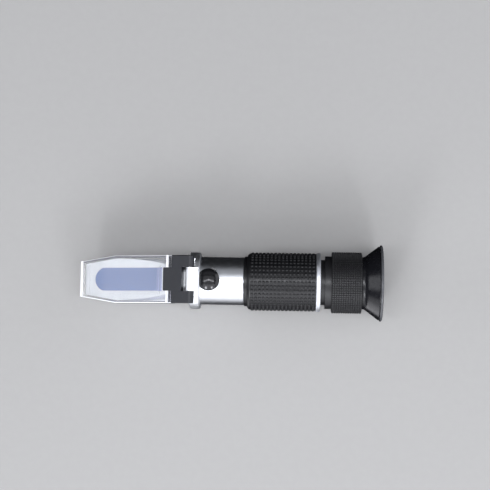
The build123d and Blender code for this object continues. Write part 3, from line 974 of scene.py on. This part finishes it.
@dataclass(frozen=True)
class CalibrationTrain(SubAssembly):
    """The rubber plug, and under it the screw, carriage, spring and bimetal strip."""

    finishes: ClassVar[dict[str, Finish]] = {
        "calibration_cap": CAP_RUBBER,
        "calibration_screw": BRIGHT_STEEL,
        "carriage_guide": BLACK_ANODISED,
        "guide_lock_ring": BLACK_ANODISED,
        "lens_carriage": BLACK_ANODISED,
        "return_spring": BRIGHT_STEEL,
        "bimetal_strip": TURNED_BRASS,
        "strip_rivets": TURNED_BRASS,
    }


@dataclass(frozen=True)
class Lenses(SubAssembly):
    """The objective, the reticle and the eyepiece's lenses, with what holds them."""

    finishes: ClassVar[dict[str, Finish]] = {
        "objective_cell": BLACK_ANODISED,
        "objective_crown": COATED_LENS,
        "objective_flint": COATED_LENS,
        "objective_retainer": BLACK_ANODISED,
        "reticle": COATED_LENS,
        "reticle_retainer": BLACK_ANODISED,
        "field_lens": COATED_LENS,
        "field_lens_retainer": BLACK_ANODISED,
        "eye_lens": COATED_LENS,
        "eye_lens_retainer": BLACK_ANODISED,
    }


@dataclass(frozen=True)
class SlidingTube(SubAssembly):
    """The eyepiece's sliding tube, its key and the rings that guide the focus."""

    finishes: ClassVar[dict[str, Finish]] = {
        "lens_tube": BLACK_ANODISED,
        "focus_key_pin": BRIGHT_STEEL,
        "focus_captive_ring": BLACK_ANODISED,
        "focus_o_ring": GRIP_RUBBER,
    }


@dataclass(frozen=True)
class Grip(SubAssembly):
    """The rubber grip with its rows of round studs."""

    finishes: ClassVar[dict[str, Finish]] = {"rubber_grip": GRIP_RUBBER}

    columns: int = 17
    rows: int = 42
    stud_radius: float = 0.82 * MM
    stud_height: float = 0.56 * MM
    stud_roundness: float = 0.75
    top_radius: float = 0.164 * MM
    sink: float = 0.06 * MM
    front_margin: float = 4.2 * MM
    back_margin: float = 1.45 * MM
    sides: int = 12
    rings: int = 4

    def pieces(self) -> list[bpy.types.Object]:
        """Makes the studs as one piece.

        Returns:
            The studs.
        """
        low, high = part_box("rubber_grip")
        stations = np.linspace(low.x + self.front_margin, high.x - self.back_margin, self.columns)
        angles = (np.arange(self.rows) + 0.5) * FULL_TURN / self.rows
        studs = make_piece("grip_studs", *copies_round_axis(*self.stud(), stations, angles, high.z))
        paint(studs, GRIP_RUBBER)
        return [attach(studs, "barrel")]

    def stud(self) -> tuple[np.ndarray, np.ndarray]:
        """Makes one stud, a round boss with a soft shoulder and a small flat top.

        At the angle t of a quarter turn, the wall is the stud's radius times a power of cos t from
        its middle, and the stud's height times the same power of sin t above its foot.

        Returns:
            Its points as along, around and above, and its faces.
        """
        quarter = np.linspace(0.0, math.pi / 2, self.rings)
        reach = self.stud_radius * np.cos(quarter) ** self.stud_roundness
        reach[-1] = self.top_radius
        height = self.stud_height * np.sin(quarter) ** self.stud_roundness - self.sink
        turn = np.arange(self.sides)[:, None] * FULL_TURN / self.sides
        parts = np.broadcast_arrays(np.cos(turn) * reach, np.sin(turn) * reach, height)
        wall_points = np.stack(parts, axis=-1).reshape(-1, 3)
        walls = grid_faces(self.sides, self.rings, rows_close=True)
        rim = np.arange(1, self.sides + 1) * self.rings - 1
        middle = np.full(self.sides // 2, len(wall_points))
        top = np.stack((rim[0::2], rim[1::2], np.roll(rim, -2)[0::2], middle), axis=1)
        return np.vstack((wall_points, (0.0, 0.0, height[-1]))), np.vstack((walls, top))


@dataclass(frozen=True)
class FocusSleeve(SubAssembly):
    """The focus ring and its finely knurled sleeve."""

    finishes: ClassVar[dict[str, Finish]] = {
        "focus_ring": BLACK_ANODISED,
        "focus_sleeve": SLEEVE_RUBBER,
    }

    columns: int = 13
    rows: int = 80
    tooth_foot: float = 0.58 * MM
    tooth_top: float = 0.40 * MM
    tooth_height: float = 0.36 * MM
    sink: float = 0.03 * MM
    margin: float = 0.75 * MM

    def pieces(self) -> list[bpy.types.Object]:
        """Makes the knurl as one piece.

        Returns:
            The knurl.
        """
        low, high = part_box("focus_sleeve")
        stations = np.linspace(low.x + self.margin, high.x - self.margin, self.columns)
        angles = (np.arange(self.rows) + 0.5) * FULL_TURN / self.rows
        knurl = make_piece("sleeve_knurl", *copies_round_axis(*self.tooth(), stations, angles, high.z))
        knurl.data.shade_flat()
        paint(knurl, SLEEVE_RUBBER)
        return [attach(knurl, "focus_ring")]

    def tooth(self) -> tuple[np.ndarray, np.ndarray]:
        """Makes one tooth of the knurl, a low pyramid with a flat top.

        Point (i, j) is corner i of a square, at half the width of the foot for j = 0 and of the top
        for j = 1.

        Returns:
            Its points as along, around and above, and its faces.
        """
        square = np.array([(-1, -1), (1, -1), (1, 1), (-1, 1)], dtype=float)
        levels = ((self.tooth_foot, -self.sink), (self.tooth_top, self.tooth_height - self.sink))
        rings = [np.insert(square * half, 2, height, axis=1) for half, height in levels]
        points = np.stack(rings, axis=1).reshape(-1, 3)
        walls = grid_faces(len(square), len(rings), rows_close=True)
        top = np.arange(len(square)) * len(rings) + 1
        return points, np.vstack((walls, top))


@dataclass(frozen=True)
class Eyecup(SubAssembly):
    """The flared rubber cup, with its fine groove and round rim."""

    finishes: ClassVar[dict[str, Finish]] = {"eyecup": EYECUP_RUBBER}

    bore: float = 11.0 * MM
    foot: float = 13.7 * MM
    foot_length: float = 0.7 * MM
    foot_break: float = 0.2 * MM
    neck_length: float = 3.42 * MM
    neck_step: float = 0.4 * MM
    wall: float = 1.5 * MM
    rim_wall: float = 1.2 * MM
    rim_length: float = 1.9 * MM
    rim_drop: float = 0.65 * MM
    rim_inset: float = 0.1 * MM
    groove_width: float = 0.5 * MM
    groove_depth: float = 0.22 * MM
    hollow_length: float = 1.6 * MM
    hollow_share: float = 0.62
    hollow_steps: int = 9
    groove_steps: int = 7
    rim_steps: int = 17
    sides: int = 144
    crease: float = math.radians(35)

    def pieces(self) -> list[bpy.types.Object]:
        """Turns the cup's section about the axis, as one piece that stands for the CAD's.

        Returns:
            The cup.
        """
        cup = make_piece("eyecup_flare", *turn_section(self.section(), self.sides))
        cup.data.set_sharp_from_angle(angle=self.crease)
        paint(cup, EYECUP_RUBBER)
        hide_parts("eyecup")
        return [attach(cup, "focus_ring")]

    def section(self) -> np.ndarray:
        """Works out the cup's closed section.

        Outside, it is a short straight foot, a hollow whose rise grows with the square of the way
        along it, a straight flare, a groove and a rim that are half ovals. Inside, it follows the
        flare at the wall's thickness.

        Returns:
            One row of station and radius for each point.
        """
        low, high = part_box("eyecup")
        rim_front = high.x - self.rim_length
        rim_edge = high.z - self.rim_drop
        foot_back = low.x + self.foot_length
        neck_back = low.x + self.neck_length
        groove_back = rim_front + self.groove_width
        slope = (rim_edge - self.foot) / (rim_front - foot_back)
        share = np.linspace(0.0, 1.0, self.hollow_steps)
        rise = slope * self.hollow_length * self.hollow_share * share**2
        hollow = np.stack((foot_back + self.hollow_length * share, self.foot + rise), axis=1)
        groove = half_oval(rim_front, groove_back, rim_edge, -self.groove_depth, self.groove_steps)
        rim = half_oval(groove_back, high.x, rim_edge, self.rim_drop, self.rim_steps)
        inside = np.array(
            [
                (high.x - self.rim_inset, rim_edge - self.rim_wall),
                (rim_front, rim_edge - self.wall),
                (neck_back, self.foot + self.neck_step),
                (neck_back, self.bore),
                (low.x, self.bore),
                (low.x, self.foot - self.foot_break),
                (low.x + self.foot_break, self.foot),
            ]
        )
        return np.vstack((hollow, groove[:-1], rim, inside))


@dataclass(frozen=True)
class SoftLight:
    """A rectangular soft light that faces a point."""

    name: str
    place: tuple[float, float, float]
    size: tuple[float, float]
    radiance: float
    aim: tuple[float, float, float] = (0.0, 0.0, 0.0)
    colour: Colour = (0.965, 0.98, 1.03)

    def switch_on(self) -> None:
        """Makes the light, whose power is pi times its radiance times its area."""
        lamp = bpy.data.lights.new(self.name, "AREA")
        lamp.shape = "RECTANGLE"
        lamp.size, lamp.size_y = self.size
        lamp.energy = math.pi * self.radiance * self.size[0] * self.size[1]
        lamp.color = self.colour
        light = bpy.data.objects.new(self.name, lamp)
        light.location = self.place
        towards = Vector(self.aim) - Vector(self.place)
        light.rotation_euler = towards.to_track_quat("-Z", "Y").to_euler()
        bpy.context.scene.collection.objects.link(light)


@dataclass(frozen=True)
class Studio:
    """The pale floor, the soft light and the camera over the instrument.

    Roll, pitch and turn are in degrees. The edges of the world's band and glow are where a step in
    a direction's X, Y or Z starts and ends.
    """

    floor_half: float = 3.0
    floor_gap: float = 0.2 * MM
    frame_width: float = 258.4 * MM
    distance: float = 0.75
    aim: tuple[float, float, float] = (-18.9 * MM, 19.2 * MM, 0.0)
    roll_of_object: float = 4.6
    pitch_of_object: float = 2.0
    turn_in_frame: float = 0.85
    sensor: float = 36.0
    world_colour: Colour = (0.006, 0.0063, 0.007)
    band_colour: Colour = (1.30, 1.30, 1.36)
    band_front: Span = (-0.55, -0.3)
    band_foot: Span = (-0.72, 0.0)
    band_top: Span = (0.0, 0.06)
    glow_colour: Colour = (2.1, 2.1, 2.2)
    glow_side: Span = (-0.48, -0.34)
    glow_foot: Span = (-0.82, -0.70)
    glow_top: Span = (-0.30, -0.15)
    lights: tuple[SoftLight, ...] = (
        SoftLight("ceiling", (0.0, -0.25, 1.90), (3.2, 2.6), 0.92),
        SoftLight("rear_card", (0.0, 1.50, 1.40), (3.2, 0.80), 0.35),
        SoftLight("overhead_left", (-0.36, -0.12, 1.30), (0.24, 1.05), 6.2),
        SoftLight("overhead_right", (0.36, -0.12, 1.30), (0.24, 1.05), 6.2),
        SoftLight("front_wall", (0.0, -1.68, 0.88), (3.2, 1.85), 2.15),
        SoftLight("front_left", (-0.44, -1.15, 0.72), (0.26, 0.34), 20.0),
        SoftLight("front_right", (0.44, -1.15, 0.72), (0.26, 0.34), 15.0),
        SoftLight("left_card", (-1.50, 0.0, 0.55), (0.95, 0.80), 1.8),
        SoftLight("right_card", (1.50, 0.0, 0.65), (2.40, 1.00), 1.9),
    )

    def build(self) -> None:
        """Lays the floor, switches the lights on and sets the camera."""
        bpy.context.scene.view_settings.view_transform = "Standard"
        self.lay_floor()
        self.fill_world()
        for light in self.lights:
            light.switch_on()
        self.set_camera()

    def lay_floor(self) -> None:
        """Lays a flat pale floor, kept out of reflections so that the metal's flanks stay dark."""
        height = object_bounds()[0].z - self.floor_gap
        side = self.floor_half
        points = np.array(
            [(-side, -side, height), (side, -side, height), (side, side, height), (-side, side, height)]
        )
        floor = make_piece("floor", points, np.array([[0, 1, 2, 3]]))
        paint(floor, PALE_FLOOR)
        floor.visible_glossy = False
        floor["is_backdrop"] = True

    def fill_world(self) -> None:
        """Fills the room: nearly dark, with a bright band low in front and a glow low on the left.

        The band's share is one smooth step in the direction's Y times two steps in its Z. The
        glow's share is that step in Y times one in X and two in Z.
        """
        world = bpy.data.worlds.new("room")
        world.use_nodes = True
        tree = world.node_tree
        background = tree.nodes["Background"]
        background.inputs["Strength"].default_value = 1.0
        direction = tree.nodes.new("ShaderNodeTexCoord").outputs["Generated"]
        x, y, z = split_axes(tree, direction)
        front = spread(tree, y, 1.0, 0.0, *self.band_front)
        over_band_foot = spread(tree, z, 0.0, 1.0, *self.band_foot)
        under_band_top = spread(tree, z, 1.0, 0.0, *self.band_top)
        band = product(tree, front, over_band_foot, under_band_top)
        banded = blend_colours(tree, band, self.world_colour, self.band_colour)
        left = spread(tree, x, 1.0, 0.0, *self.glow_side)
        over_glow_foot = spread(tree, z, 0.0, 1.0, *self.glow_foot)
        under_glow_top = spread(tree, z, 1.0, 0.0, *self.glow_top)
        glow = product(tree, front, left, over_glow_foot, under_glow_top)
        colour = blend_colours(tree, glow, banded, self.glow_colour)
        tree.links.new(colour, background.inputs["Color"])
        bpy.context.scene.world = world

    def set_camera(self) -> None:
        """Sets the camera over the instrument, which lies rolled and pitched a little under it."""
        roll = math.radians(self.roll_of_object)
        pitch = math.radians(self.pitch_of_object)
        turn = math.radians(self.turn_in_frame)
        back = Vector((math.sin(pitch), -math.sin(roll), 1.0)).normalized()
        across = (Vector((1, 0, 0)) - back * back.x).normalized()
        upwards = back.cross(across)
        right = across * math.cos(turn) + upwards * math.sin(turn)
        up = back.cross(right)
        lens = bpy.data.cameras.new("camera")
        lens.sensor_width = self.sensor
        lens.lens = self.sensor * self.distance / self.frame_width
        camera = bpy.data.objects.new("camera", lens)
        placed = Matrix((right, up, back)).transposed().to_4x4()
        placed.translation = Vector(self.aim) + back * self.distance
        camera.matrix_world = placed
        bpy.context.scene.collection.objects.link(camera)
        bpy.context.scene.camera = camera


SUB_ASSEMBLIES = (
    Head,
    DaylightFlap,
    Barrel,
    CalibrationTrain,
    Lenses,
    SlidingTube,
    Grip,
    FocusSleeve,
    Eyecup,
)


def main() -> None:
    """Builds the studio and dresses the instrument, one sub-assembly after the other."""
    logging.basicConfig(level=logging.INFO, format="%(message)s")
    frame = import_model()
    Studio().build()
    for sub_assembly in SUB_ASSEMBLIES:
        for piece in sub_assembly().dress(frame):
            LOG.info("%s: %s", sub_assembly.__name__, piece)


if __name__ == "__main__":
    main()
